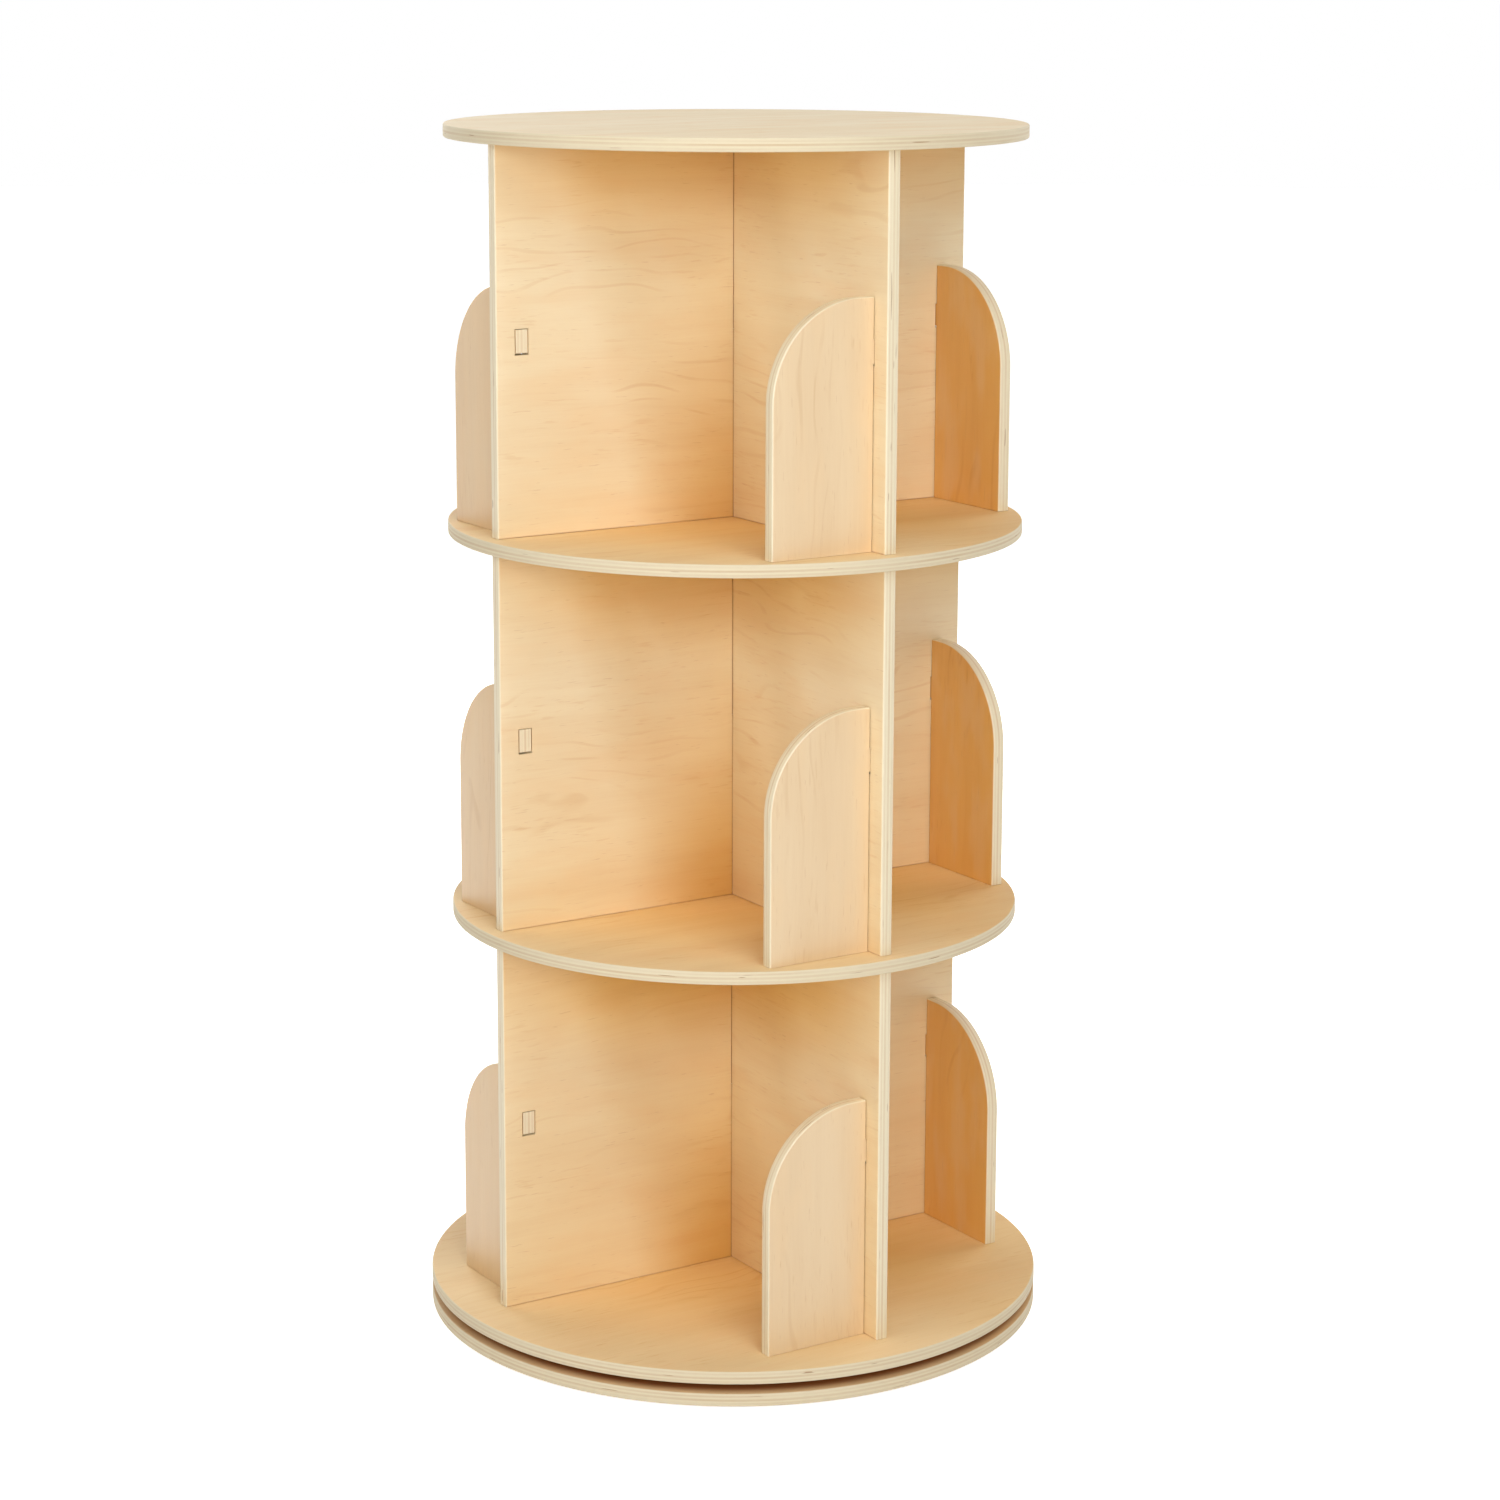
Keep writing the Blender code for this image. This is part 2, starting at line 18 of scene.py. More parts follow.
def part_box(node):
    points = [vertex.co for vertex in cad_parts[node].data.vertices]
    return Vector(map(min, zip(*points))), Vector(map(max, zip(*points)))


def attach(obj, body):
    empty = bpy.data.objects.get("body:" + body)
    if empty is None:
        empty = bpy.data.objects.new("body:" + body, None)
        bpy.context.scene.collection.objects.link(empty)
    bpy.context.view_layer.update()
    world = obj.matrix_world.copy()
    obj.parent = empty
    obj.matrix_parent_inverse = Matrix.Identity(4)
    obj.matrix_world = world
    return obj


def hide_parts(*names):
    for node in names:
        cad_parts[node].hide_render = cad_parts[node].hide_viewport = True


# Sheet and fits, as in the solids
SHEET_THICKNESS = 0.0105
HALF_SHEET = SHEET_THICKNESS / 2
SEAT_GAP = 0.0003
SLOT_WIDTH = SHEET_THICKNESS + 2 * SEAT_GAP

# Boards and tiers
BASE_DIAMETER = 0.500
SHELF_DIAMETER = 0.458
BEARING_MIDDLE = 0.01655
TIER_FLOORS = {"lower": 0.0308, "middle": 0.3423, "upper": 0.6538}
TIER_CLEAR_HEIGHT = 0.301
TIER_PITCH = TIER_CLEAR_HEIGHT + SHEET_THICKNESS

# Wings, their tabs, and the pockets for them
WING_REACH = 0.218
TAB_LENGTH = 0.050
TAB_HEIGHT = 0.0055
TAB_INNER_PLACE = WING_REACH * 0.32
TAB_OUTER_PLACE = WING_REACH * 0.69
POCKET_DEPTH = 0.006

# Dividers. Their joints are wider than in the solids, so that a dark line shows round them
WING_SIDES = ("right", "back", "left", "front")
DIVIDER_PLACE = WING_REACH - 0.022
DIVIDER_WIDTH = 0.0895
DIVIDER_HEIGHT = 0.192
DIVIDER_ARCH_RADIUS = 0.0765
MORTISE_HEIGHT = 0.020
JOINT_GAP = 0.0007
TENON_PLAY = 0.0017

# Holes in the base and the turntable. The first screw stands half a step round its ring
OUTER_SCREW_CIRCLE = 0.1418
INNER_SCREW_CIRCLE = 0.1232
SCREWS_PER_RING = 4
FIRST_SCREW_STEP = 0.5
PILOT_DIAMETER = 0.0038
PILOT_DEPTH = 0.007
DRIVER_HOLE_DIAMETER = 0.012

# Rounding and facets
ARRIS_RADIUS = 0.0013
EASED_RADIUS = 0.0004
ARRIS_FACETS = 4
EASED_FACETS = 2
ARCH_FACETS = 40
RIM_FACETS = 288
HOLE_FACETS = 32
FLOOR_FACETS = 64
ROUND_PROFILE = 0.5
SMOOTH_ANGLE = math.radians(35)

# Working values: how far a cutter passes through, which faces look toward the wing, and
# the scale that leaves only a point's distance from the axis
CUT_OVERRUN = 0.002
FACING_WING = -0.5
QUARTER_TURN = math.pi / 2
FLATTENED = (1.0, 1.0, 0.0)

# How far one piece's veneer is shifted from the last one's, along and across the grain
SHIFT_ALONG = 0.731
SHIFT_ACROSS = 0.417

# Maple: each veneer has a light and a dark colour
PANEL_VENEER = ((0.885, 0.730, 0.455), (0.765, 0.540, 0.280))
BOARD_VENEER = ((0.860, 0.665, 0.370), (0.735, 0.485, 0.215))
# The top board's upper face: paler, its own pale tone with a painted sheen over it
TOP_VENEER_WITH_SHEEN = ((0.900, 0.765, 0.530), (0.795, 0.600, 0.335))
DIVIDER_OUTSIDE = ((0.800, 0.600, 0.350), (0.700, 0.475, 0.240))
# The inside faces of the dividers: the same maple, with painted shade in its colour
DIVIDER_INSIDE_PAINTED_SHADE = ((0.840, 0.465, 0.115), (0.720, 0.340, 0.068))
VENEER_ROSY = (0.840, 0.590, 0.310)
FLECK_BROWN = (0.520, 0.260, 0.090)

# Plies at the edge of a sheet, and the wood behind a void in them
PANEL_PLIES = ((0.850, 0.745, 0.510), (0.700, 0.520, 0.290))
BOARD_PLIES = ((0.785, 0.680, 0.462), (0.650, 0.482, 0.275))
VOID_BROWN = (0.380, 0.200, 0.080)
PLY_COUNT = 7
FACE_VENEER = 0.0004
VENEER_WORN = 0.00005

# Figures are drawn with noise: its waves to a metre along the grain, across it and through
# the sheet, its detail and roughness, and the levels between which it comes to show, with
# how strong it is at each
Figure = namedtuple("Figure", "waves detail roughness shows", defaults=(1.0, 0.5, (0.0, 1.0)))
NOISE_MEAN = 0.5

# Figure of the veneer, and how much of the dark colour each kind brings
SWAY_WAVES = Figure((5.0, 9.0, 30.0), detail=2.0)
SWAY = 0.014
CLOUDS = Figure((5.0, 21.0, 30.0), detail=2.0, shows=(0.32, 0.70))
CLOUD_SHARE = 0.30
STREAKS = Figure((5.5, 105.0, 60.0), detail=3.0, roughness=0.6, shows=(0.38, 0.72))
STREAK_SHARE = 0.15
FIBRES = Figure((24.0, 1100.0, 300.0), detail=2.0)
FIBRE_SHARE = 0.26
DASHES = Figure((52.0, 430.0, 60.0), shows=(0.60, 0.74))
DASH_GROUPS = Figure((10.0, 19.0, 30.0), shows=(0.46, 0.64))
DASH_SHARE = 0.40
ROSY_PATCHES = Figure((13.0, 40.0, 60.0), detail=2.0, shows=(0.46, 0.70, 0.0, 0.30))
FLECKS = Figure((75.0, 950.0, 100.0), shows=(0.70, 0.80, 0.0, 0.30))

# Year rings, as the knife meets them: radians of phase to a metre, and how far it drifts
RING_DRIFT = Figure((2.4, 6.0, 30.0), detail=3.0, roughness=0.6)
RING_BREAKS = Figure((22.0, 90.0, 30.0), shows=(0.36, 0.60))
RING_PATCHES = Figure((5.0, 11.0, 30.0), shows=(0.47, 0.68))
RING_PHASE_ACROSS = 420.0
RING_PHASE_DRIFT = 80.0
RING_CREST = (0.72, 1.0)
RING_SHARE = 0.48

# Figure of the plies
PLY_CLOUDS = Figure((9.0, 9.0, 330.0), shows=(0.35, 0.70, 0.12, 0.50))
PLY_MOTTLE = Figure((210.0, 210.0, 600.0), detail=2.0)
PLY_VOIDS = Figure((42.0, 42.0, 820.0), detail=0.0, shows=(0.79, 0.83))
MOTTLE_SHARE = 0.22
HALF_PLY = 0.5
ONE_PLY = 1.0
PLY_TURNS = (0.36, 0.64)
CORE_SHADE = (0.0006, 0.0012, 0.30, 0.0)
VOID_ZONE = (HALF_SHEET * 0.60, HALF_SHEET * 0.66, 0.75, 0.0)

# Lacquer, smoothest and roughest, with what it adds to the wood's shine
Lacquer = namedtuple("Lacquer", "smooth rough specular coat")
SATIN = Lacquer(0.46, 0.56, 1.0, 0.5)
MATT = Lacquer(0.66, 0.74, 0.6, 0.1)
ROUGH_FIBRE = (0.2, 0.8)
SEAM_ROUGHENS = 0.25
EDGE_ROUGHENS = 0.08
WOOD_RELIEF = 0.00008
MOTTLE_RELIEF = 1.5
RELIEF_STRENGTH = 0.5

# Painted shade: a warm tint multiplied into the veneer in the sheltered places, and brown
# lines of painted shade where pieces meet and in the bearing's gap
PAINTED_SHADE_TINT = (0.940, 0.690, 0.270)
PAINTED_SEAM_SHADE = (0.370, 0.125, 0.015)

# Each painted shade below is from, to, and how strong it is at each of the two. On the panels:
UNDER_BOARD = (0.200, 0.296, 0.0, 0.95)
REACHES_LOWER = (0.25, 0.90, 0.036, 0.0)
REACHES_INWARD = (0.030, 0.215, 1.0, 0.40)
OPEN_END = (0.120, 0.225, 1.0, 0.40)
CORNER_FROM_AXIS = (0.010, 0.110, 0.85, 0.0)
CORNER_ON_WAYS = (0.0, 1.0, 0.25, 1.0)
CORNER_UPWARD = (0.0, 0.190, 1.0, 0.15)
WEAKER_HIGH_UP = (0.62, 0.93, 0.86, 0.74)
LOW_TIERS = (0.20, 0.62, 0.20, 0.0)
MEETING_LINE = (0.0076, 0.0080, 0.48, 0.0)
STANDING_LINE = (0.0006, 0.0014, 0.40, 0.0)

# Painted shade on the boards and in the bearing's gap, and on the dividers to the left and
# right:
NEAR_CROSS = (0.050, 0.240, 0.60, 0.06)
RIGHT_HALF = (0.02, 0.12, 0.0, 0.30)
GAP_FACES = (0.0039, 0.0046, 1.0, 0.0)
GAP_INSIDE = (0.236, 0.2490, 1.0, 0.30)
SIDE_DIVIDERS = (0.195, 0.205, 0.0, 0.40)

# Hardware: dark and light colour, grain of the skin in waves to a metre, and its roughness.
# The turning lines are in radians of phase to a metre
ALUMINIUM = ((0.72, 0.72, 0.74), (0.84, 0.84, 0.86))
ALUMINIUM_CLOUD = 40.0
ALUMINIUM_ROUGHNESS = (0.2, 0.8, 0.28, 0.42)
TURNING_LINES = 12000.0
TURNING_RELIEF = 0.00003
BALL_STEEL = ((0.50, 0.50, 0.52), (0.62, 0.62, 0.64), 300.0, (0.08, 0.16))
ZINC_PLATE = ((0.58, 0.57, 0.53), (0.74, 0.73, 0.69), 500.0, (0.25, 0.40))
METAL_RELIEF = 0.00002
METAL_RELIEF_STRENGTH = 0.3
NATURAL_NYLON = ((0.72, 0.71, 0.64), (0.80, 0.79, 0.72), 900.0, (0.42, 0.55))
NYLON_RELIEF = 0.00005
BLACK_RUBBER = ((0.022, 0.022, 0.023), (0.036, 0.035, 0.034), 1400.0, (0.65, 0.85))
RUBBER_RELIEF = 0.0001
MOULDED_CLOUD = 60.0
METAL_DETAIL = 3.0
SOFT_DETAIL = 2.0
CLOUDED = (0.25, 0.75)

# Floor and light: the floor's glow is by distance from the object
WHITE = 1.0
FLOOR_RADIUS = 14.0
FLOOR_WHITES = ((0.88, 0.88, 0.88), (0.90, 0.90, 0.90))
FLOOR_CLOUD = 3.0
FLOOR_ROUGHNESS = 0.8
FLOOR_GLOW = (0.5, 2.0, 0.78, WHITE)
AMBIENT = 0.03
DAYLIGHT = (1.0, 1.0, 1.03)
LAMPS_AIM = (0, 0, 0.48)

# Square lamps: degrees round from the front, height, distance, width and watts
SOFTBOXES = {
    "key_right": (-8.0, 1.22, 2.75, 0.9, 7.5),
    "key_left": (-22.0, 1.25, 2.75, 0.9, 13.5),
    "front_left": (-50.0, 1.3, 2.9, 1.5, 14.0),
    "left": (-85.0, 2.3, 2.8, 1.7, 26.5),
    "high": (-10.0, 2.6, 2.2, 1.5, 26.5),
    "overhead": (180.0, 3.3, 0.3, 1.5, 13.0),
    "rear": (178.0, 1.5, 3.0, 1.8, 38.0),
    "right": (99.0, 1.5, 3.0, 1.8, 35.0)}

# Camera, with its lens in millimetres and its angles in radians
CAMERA_PLACE = (-1.49116, -2.35920, 1.10047)
CAMERA_LENS = 84.756
CAMERA_SENSOR = 36.0
CAMERA_SHIFT = (0.010157, -0.066667)
CAMERA_REACH = (0.05, 60.0)
CAMERA_HEADING = 0.563662
CAMERA_PITCH = 0.196754
CAMERA_ROLL = 0.002611

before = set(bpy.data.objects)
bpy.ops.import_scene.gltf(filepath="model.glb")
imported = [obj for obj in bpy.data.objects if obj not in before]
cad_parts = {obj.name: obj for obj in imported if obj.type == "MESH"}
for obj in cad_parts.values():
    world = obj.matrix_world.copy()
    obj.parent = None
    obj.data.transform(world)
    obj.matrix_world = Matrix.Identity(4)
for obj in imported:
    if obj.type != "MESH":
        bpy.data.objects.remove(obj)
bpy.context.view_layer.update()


# Meshes

def new_object(name, data):
    obj = bpy.data.objects.new(name, data)
    bpy.context.scene.collection.objects.link(obj)
    return obj


def to_mesh(name, bm):
    """A closed mesh with outward faces from a finished bmesh."""
    bmesh.ops.recalc_face_normals(bm, faces=bm.faces)
    mesh = bpy.data.meshes.new(name)
    bm.to_mesh(mesh)
    bm.free()
    return mesh


def cut(mesh, cutter_mesh):
    """The first mesh with the second one cut out of it."""
    body = new_object("body", mesh)
    cutter = new_object("cutter", cutter_mesh)
    difference = body.modifiers.new("cut", "BOOLEAN")
    difference.operation = "DIFFERENCE"
    difference.solver = "EXACT"
    difference.object = cutter
    evaluated = body.evaluated_get(bpy.context.evaluated_depsgraph_get())
    result = bpy.data.meshes.new_from_object(evaluated)
    for used in (body, cutter):
        bpy.data.objects.remove(used, do_unlink=True)
    return result


def add_box(bm, low, high):
    """A box between two corners."""
    low, high = Vector(low), Vector(high)
    size = Matrix.Diagonal((*(high - low), 1))
    bmesh.ops.create_cube(bm, size=1, matrix=Matrix.Translation((low + high) / 2) @ size)


def pull_out(bm, faces, by):
    """Extrudes faces along a vector."""
    made = bmesh.ops.extrude_face_region(bm, geom=faces)
    moved = [item for item in made["geom"] if isinstance(item, bmesh.types.BMVert)]
    bmesh.ops.translate(bm, verts=moved, vec=by)


def round_edges(bm, edges, radius, facets):
    bmesh.ops.bevel(
        bm, geom=edges, offset=radius, offset_type="OFFSET", segments=facets,
        profile=ROUND_PROFILE, affect="EDGES", material=-1)


def face_edges(bm, wanted):
    """Edges lying in either face of a sheet whose middle passes a test."""
    chosen = []
    for edge in bm.edges:
        first, second = (vert.co for vert in edge.verts)
        middle = (first + second) / 2
        if first.z * second.z > 0 and wanted(middle.x, middle.y):
            chosen.append(edge)
    return chosen


def screw_places(radius):
    """Where the screws of one ring stand, evenly round it."""
    places = []
    for i in range(SCREWS_PER_RING):
        angle = math.tau * (i + FIRST_SCREW_STEP) / SCREWS_PER_RING
        places.append(Vector((radius * math.cos(angle), radius * math.sin(angle), 0)))
    return places


def holes(places, diameter, low, high):
    """Round holes through a sheet, as one cutter."""
    bm = bmesh.new()
    for centre in places:
        middle = Matrix.Translation((centre.x, centre.y, (low + high) / 2))
        bmesh.ops.create_cone(
            bm, cap_ends=True, segments=HOLE_FACETS, radius1=diameter / 2,
            radius2=diameter / 2, depth=high - low, matrix=middle)
    return to_mesh("holes", bm)


def pockets(place_on_x, place_on_y, low, high):
    """Pockets for the tabs of two crossed panels, as one cutter."""
    bm = bmesh.new()
    half_width = SLOT_WIDTH / 2
    half_length = TAB_LENGTH / 2 + SEAT_GAP
    for side in (-1, 1):
        x, y = side * place_on_x, side * place_on_y
        add_box(bm, (x - half_length, -half_width, low), (x + half_length, half_width, high))
        add_box(bm, (-half_width, y - half_length, low), (half_width, y + half_length, high))
    return to_mesh("pockets", bm)


def upper_pockets():
    floor = HALF_SHEET - POCKET_DEPTH
    return pockets(TAB_INNER_PLACE, TAB_OUTER_PLACE, floor, HALF_SHEET + CUT_OVERRUN)


def lower_pockets():
    ceiling = POCKET_DEPTH - HALF_SHEET
    return pockets(TAB_OUTER_PLACE, TAB_INNER_PLACE, -HALF_SHEET - CUT_OVERRUN, ceiling)


def round_sheet(diameter):
    """A round board with rounded arrises."""
    bm = bmesh.new()
    bmesh.ops.create_circle(bm, cap_ends=True, segments=RIM_FACETS, radius=diameter / 2)
    bmesh.ops.translate(bm, verts=bm.verts, vec=(0, 0, -HALF_SHEET))
    pull_out(bm, bm.faces[:], (0, 0, SHEET_THICKNESS))
    round_edges(bm, face_edges(bm, lambda x, y: True), ARRIS_RADIUS, ARRIS_FACETS)
    return to_mesh("board", bm)


def tab_outline(centre, edge, tip):
    """Four points of one tab, in the direction in which the outline runs."""
    half = TAB_LENGTH / 2 if edge < 0 else -TAB_LENGTH / 2
    return [
        (centre - half, edge), (centre - half, tip),
        (centre + half, tip), (centre + half, edge)]


def panel_outline():
    """A full-width panel with tabs, and with half of the cross-lap open at its top."""
    edge = TIER_CLEAR_HEIGHT / 2 - SEAT_GAP
    tip = TIER_CLEAR_HEIGHT / 2 + TAB_HEIGHT
    half_lap = SLOT_WIDTH / 2
    lap_floor = -SEAT_GAP / 2
    return [
        (-WING_REACH, -edge),
        *tab_outline(-TAB_INNER_PLACE, -edge, -tip),
        *tab_outline(TAB_INNER_PLACE, -edge, -tip),
        (WING_REACH, -edge), (WING_REACH, edge),
        *tab_outline(TAB_OUTER_PLACE, edge, tip),
        (half_lap, edge), (half_lap, lap_floor), (-half_lap, lap_floor), (-half_lap, edge),
        *tab_outline(-TAB_OUTER_PLACE, edge, tip),
        (-WING_REACH, edge)]


def panel_sheet():
    """A panel with its outer ends rounded and its two mortises cut."""
    bm = bmesh.new()
    face = bm.faces.new([bm.verts.new((x, y, -HALF_SHEET)) for x, y in panel_outline()])
    pull_out(bm, [face], (0, 0, SHEET_THICKNESS))
    ends = face_edges(bm, lambda x, y: abs(x) > WING_REACH - SEAT_GAP)
    round_edges(bm, ends, ARRIS_RADIUS, ARRIS_FACETS)
    rest = face_edges(bm, lambda x, y: abs(x) < WING_REACH - 2 * ARRIS_RADIUS)
    round_edges(bm, rest, EASED_RADIUS, EASED_FACETS)
    mortises = bmesh.new()
    through = HALF_SHEET + CUT_OVERRUN
    half = HALF_SHEET + JOINT_GAP
    for place in (-DIVIDER_PLACE, DIVIDER_PLACE):
        add_box(
            mortises, (place - half, -MORTISE_HEIGHT / 2, -through),
            (place + half, MORTISE_HEIGHT / 2 + SEAT_GAP, through))
    return cut(to_mesh("panel", bm), to_mesh("mortises", mortises))


def slice_across(bm, height):
    """New edges all round a sheet at one place along its grain."""
    bmesh.ops.bisect_plane(
        bm, geom=bm.verts[:] + bm.edges[:] + bm.faces[:], plane_co=(height, 0, 0),
        plane_no=(1, 0, 0))


def divider_sheet():
    """A divider: x is its height, y its reach from the wing, with its tenon at y < 0."""
    bm = bmesh.new()
    add_box(
        bm, (SEAT_GAP, JOINT_GAP, -HALF_SHEET), (DIVIDER_HEIGHT, DIVIDER_WIDTH, HALF_SHEET))
    corner = [edge for edge in bm.edges
              if all(vert.co.x > DIVIDER_HEIGHT - SEAT_GAP for vert in edge.verts)
              and all(vert.co.y > DIVIDER_WIDTH - SEAT_GAP for vert in edge.verts)]
    round_edges(bm, corner, DIVIDER_ARCH_RADIUS, ARCH_FACETS)
    hidden = JOINT_GAP + ARRIS_RADIUS
    shown = face_edges(bm, lambda x, y: x > hidden and y > hidden)
    round_edges(bm, shown, ARRIS_RADIUS, ARRIS_FACETS)
    tenon_top = (TIER_CLEAR_HEIGHT + MORTISE_HEIGHT) / 2 - SEAT_GAP
    tenon_bottom = (TIER_CLEAR_HEIGHT - MORTISE_HEIGHT) / 2 + TENON_PLAY
    slice_across(bm, tenon_top)
    slice_across(bm, tenon_bottom)
    middle = (tenon_top + tenon_bottom) / 2
    root = [face for face in bm.faces
            if face.normal.y < FACING_WING
            and abs(face.calc_center_median().x - middle) < MORTISE_HEIGHT / 2
            and face.calc_center_median().y < hidden]
    pull_out(bm, root, (0, -SHEET_THICKNESS - JOINT_GAP, 0))
    bmesh.ops.delete(bm, geom=root, context="FACES_ONLY")
    return to_mesh("divider", bm)


def wooden_piece(node, sheet, place, material, body, serial):
    """A sheet set down in its place, where it stands for a node of the solids."""
    mesh = sheet.copy()
    mesh.name = node + "_look"
    corner = Vector((serial * SHIFT_ALONG, serial * SHIFT_ACROSS, 0))
    grain = mesh.attributes.new("sheet", "FLOAT_VECTOR", "POINT")
    for vert, value in zip(mesh.vertices, grain.data):
        value.vector = vert.co + corner
    mesh.transform(place)
    mesh.materials.clear()
    mesh.materials.append(material)
    mesh.shade_smooth()
    mesh.set_sharp_from_angle(angle=SMOOTH_ANGLE)
    piece = new_object(mesh.name, mesh)
    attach(piece, body)
    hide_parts(node)


# Materials

class Nodes:
    """A node tree, with short ways to add to it. A value is a number or a node's output."""

    def __init__(self, tree):
        self.tree = tree

    def feed(self, socket, value):
        if isinstance(value, bpy.types.NodeSocket):
            self.tree.links.new(value, socket)
        else:
            socket.default_value = value

    def node(self, kind, **inputs):
        made = self.tree.nodes.new(kind)
        for name, value in inputs.items():
            self.feed(made.inputs[name.replace("_", " ")], value)
        return made

    def worked_out(self, kind, operation, values):
        """The outputs of a node that works on values in turn."""
        made = self.tree.nodes.new(kind)
        made.operation = operation
        for socket, value in zip(made.inputs, values):
            self.feed(socket, value)
        return made.outputs

    def maths(self, operation, *values):
        return self.worked_out("ShaderNodeMath", operation, values)[0]

    def times(self, first, second):
        return self.maths("MULTIPLY", first, second)

    def plus(self, first, second):
        return self.maths("ADD", first, second)

    def minus(self, first, second):
        return self.maths("SUBTRACT", first, second)

    def times_plus(self, value, factor, added):
        return self.maths("MULTIPLY_ADD", value, factor, added)

    def larger(self, first, second):
        return self.maths("MAXIMUM", first, second)

    def unsigned(self, value):
        return self.maths("ABSOLUTE", value)

    def between(self, value, low, high, to_low=0.0, to_high=1.0):
        """A value brought smoothly from one range to another, and kept inside it."""
        made = self.tree.nodes.new("ShaderNodeMapRange")
        made.interpolation_type = "SMOOTHSTEP"
        for socket, number in zip(made.inputs, (value, low, high, to_low, to_high)):
            self.feed(socket, number)
        return made.outputs[0]

    def place(self):
        """The point's place in the bookcase at rest."""
        return self.tree.nodes.new("ShaderNodeTexCoord").outputs["Object"]

    def parts(self, vector):
        return self.node("ShaderNodeSeparateXYZ", Vector=vector).outputs

    def length(self, vector):
        return self.worked_out("ShaderNodeVectorMath", "LENGTH", (vector,))["Value"]

    def moved(self, vector, by):
        return self.worked_out("ShaderNodeVectorMath", "ADD", (vector, by))["Vector"]

    def stretched(self, vector, scale):
        return self.node("ShaderNodeMapping", Vector=vector, Scale=scale).outputs[0]

    def noise(self, vector, figure):
        """The bare noise of a figure, from 0 to 1."""
        made = self.node(
            "ShaderNodeTexNoise", Vector=self.stretched(vector, figure.waves), Scale=1.0,
            Detail=figure.detail, Roughness=figure.roughness)
        return made.outputs["Fac"]

    def centred(self, noise):
        return self.minus(noise, NOISE_MEAN)

    def drawn(self, vector, figure):
        """A figure as it shows."""
        return self.between(self.noise(vector, figure), *figure.shows)

    def clouded(self, waves, detail):
        """Noise in the bookcase's own place, alike in all directions."""
        return self.noise(self.place(), Figure((waves, waves, waves), detail=detail))

    def mixed(self, factor, first, second, blend="MIX"):
        """Two colours mixed; a colour is three numbers or another node's output."""
        made = self.tree.nodes.new("ShaderNodeMix")
        made.data_type = "RGBA"
        made.blend_type = blend
        colours = [socket for socket in made.inputs if socket.type == "RGBA"]
        self.feed(made.inputs[0], factor)
        for socket, value in zip(colours, (first, second)):
            self.feed(socket, (*value, 1.0) if isinstance(value, tuple) else value)
        return [socket for socket in made.outputs if socket.type == "RGBA"][0]

    def seen(self):
        """1 for what is looked at straight, in a reflection or through glass, or else 0."""
        rays = self.tree.nodes.new("ShaderNodeLightPath").outputs
        seen = self.larger(rays["Is Camera Ray"], rays["Is Glossy Ray"])
        return self.larger(seen, rays["Is Transmission Ray"])


class Finish(Nodes):
    """A material of its own."""

    def __init__(self, name):
        self.material = bpy.data.materials.new(name)
        self.material.use_nodes = True
        super().__init__(self.material.node_tree)
        self.shader = self.tree.nodes["Principled BSDF"]

    def bump(self, height, distance, strength=RELIEF_STRENGTH):
        made = self.node(
            "ShaderNodeBump", Height=height, Distance=distance, Strength=strength)
        self.feed(self.shader.inputs["Normal"], made.outputs[0])

    def put(self, **inputs):
        for name, value in inputs.items():
            self.feed(self.shader.inputs[name.replace("_", " ")], value)


def swayed_sheet(finish, sheet):
    """Sheet coordinates pushed to and fro across the grain, so that streaks run in waves."""
    push = finish.times(finish.centred(finish.noise(sheet, SWAY_WAVES)), SWAY)
    return finish.moved(sheet, finish.node("ShaderNodeCombineXYZ", Y=push).outputs[0])


def annual_lines(finish, sheet):
    """Faint arched lines where the knife met the year rings, in a few places only."""
    drift = finish.times(finish.noise(sheet, RING_DRIFT), RING_PHASE_DRIFT)
    phase = finish.times_plus(finish.parts(sheet)["Y"], RING_PHASE_ACROSS, drift)
    lines = finish.between(finish.maths("SINE", phase), *RING_CREST)
    lines = finish.times(lines, finish.drawn(sheet, RING_BREAKS))
    return finish.times(lines, finish.drawn(sheet, RING_PATCHES))


def short_dashes(finish, swayed, sheet):
    """Soft pores a centimetre long, gathered in loose groups."""
    return finish.times(finish.drawn(swayed, DASHES), finish.drawn(sheet, DASH_GROUPS))


def veneer_colour(finish, sheet, light, dark):
    """Rotary-cut maple: soft clouds, faint streaks and lines, fibres, dashes and flecks."""
    swayed = swayed_sheet(finish, sheet)
    fibre = finish.noise(swayed, FIBRES)
    tone = finish.times(finish.drawn(swayed, STREAKS), STREAK_SHARE)
    tone = finish.times_plus(finish.drawn(sheet, CLOUDS), CLOUD_SHARE, tone)
    tone = finish.times_plus(annual_lines(finish, sheet), RING_SHARE, tone)
    tone = finish.times_plus(short_dashes(finish, swayed, sheet), DASH_SHARE, tone)
    tone = finish.times_plus(finish.centred(fibre), FIBRE_SHARE, tone)
    colour = finish.mixed(tone, light, dark)
    colour = finish.mixed(finish.drawn(sheet, ROSY_PATCHES), colour, VENEER_ROSY)
    return finish.mixed(finish.drawn(swayed, FLECKS), colour, FLECK_BROWN), fibre


